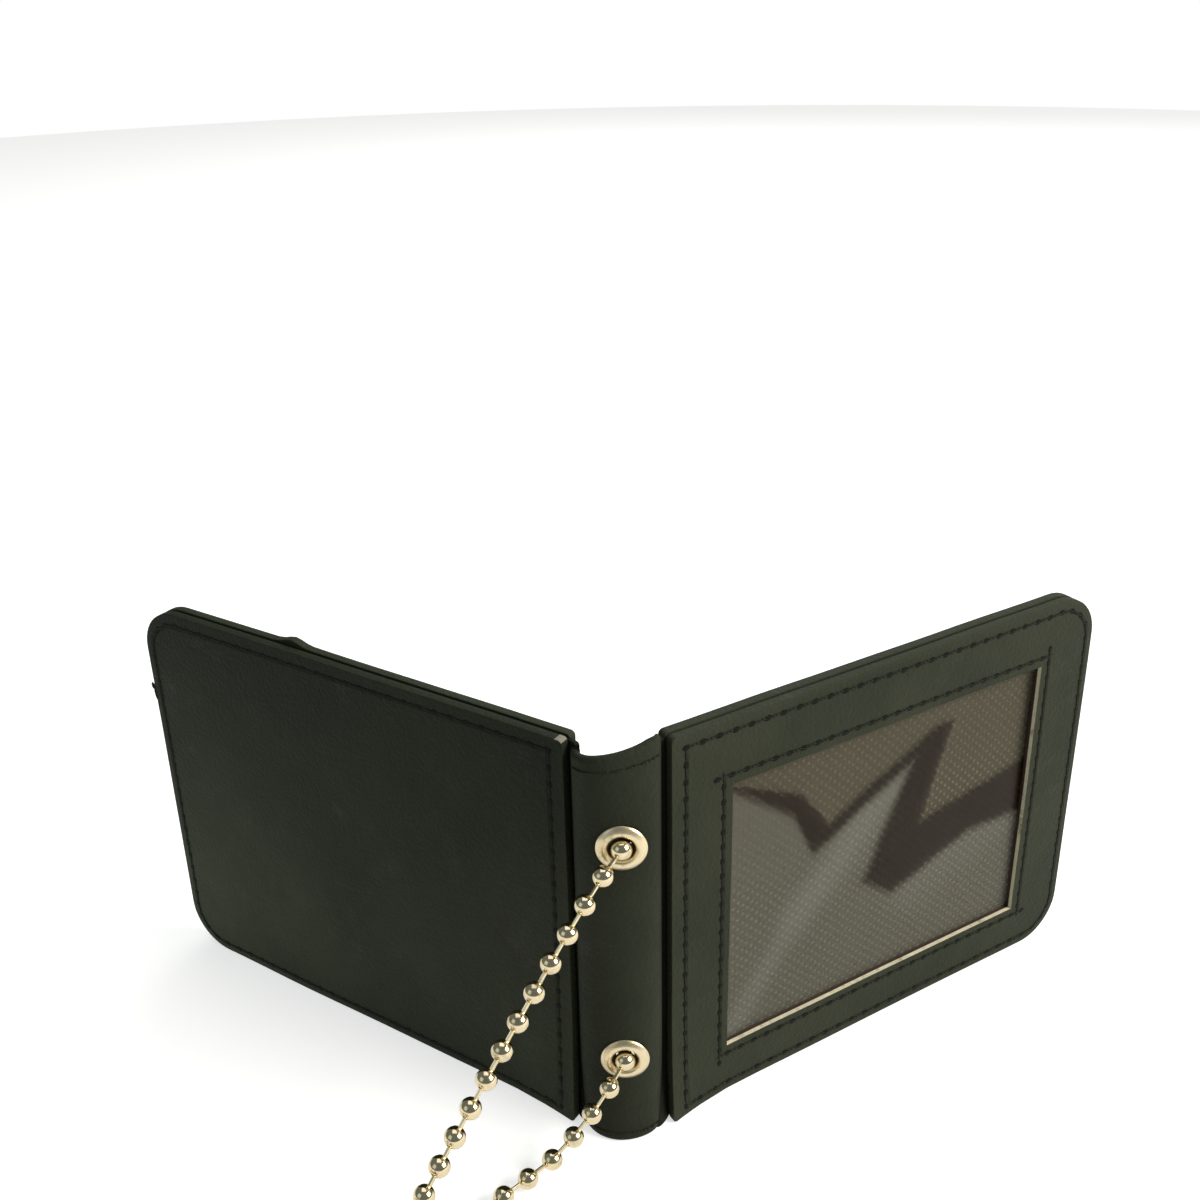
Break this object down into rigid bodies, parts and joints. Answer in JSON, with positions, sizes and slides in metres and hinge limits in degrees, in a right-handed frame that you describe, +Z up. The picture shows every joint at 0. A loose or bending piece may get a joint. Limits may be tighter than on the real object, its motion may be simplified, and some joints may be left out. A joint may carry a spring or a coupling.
{
  "type": "id badge wallet",
  "caption": "Folding leather badge wallet with clear card windows, a magnetic snap and a ball chain through spine eyelets, standing open as a V.",
  "frame": {"origin": "middle of the wallet's footprint on the surface it stands on, without the chain outside the spine", "axes": "+X along the opened wallet from the rear panel to the front panel, +Y from the spine into the V, +Z up along the spine"},
  "size_m": [0.2008, 0.1552, 0.0874],
  "materials": {
    "black_leather": "fine grain, semi-matt",
    "lining": "smooth, slightly glossy",
    "pale_board": "raw cut edge",
    "grey_board": "matt",
    "woven_backing": "fine grey weave",
    "clear_vinyl": "clear, glossy",
    "nickel": "polished nickel plate, slightly warm",
    "magnet": "matt ferrite",
    "tie_plastic": "matt"
  },
  "bodies": {
    "spine": {"spine_cover": "black_leather", "spine_lining": "lining", "upper_eyelet": "nickel", "lower_eyelet": "nickel", "chain_upper_strand": "nickel", "chain_lower_strand": "nickel", "chain_coil": "nickel", "chain_tie": "tie_plastic", "chain_inner_upper": "nickel", "chain_inner_lower": "nickel", "chain_connector": "nickel"},
    "front_panel": {"front_facing_leather": "black_leather", "front_stiffener_board": "grey_board", "front_pocket_backing": "woven_backing", "front_window_vinyl": "clear_vinyl", "front_frame_board": "pale_board", "front_frame_leather": "black_leather", "snap_stud": "nickel", "snap_stud_prongs": "nickel", "snap_stud_washer": "nickel"},
    "rear_panel": {"rear_facing_leather": "black_leather", "rear_stiffener_board": "grey_board", "rear_pocket_backing": "woven_backing", "rear_window_vinyl": "clear_vinyl", "rear_frame_board": "pale_board", "rear_frame_leather": "black_leather", "snap_socket_case": "nickel", "snap_socket_magnet": "magnet", "snap_socket_base": "nickel", "snap_socket_prongs": "nickel", "snap_socket_washer": "nickel"}
  },
  "joints": [
    {"name": "front_fold", "type": "hinge", "parent": "spine", "child": "front_panel", "pos_m": [0.0073, -0.02686, 0], "axis": [0, 0, 1], "range_deg": [-32.4, 59.1]},
    {"name": "rear_fold", "type": "hinge", "parent": "spine", "child": "rear_panel", "pos_m": [-0.0073, -0.02686, 0], "axis": [0, 0, -1], "range_deg": [-32.4, 59.1]}
  ]
}
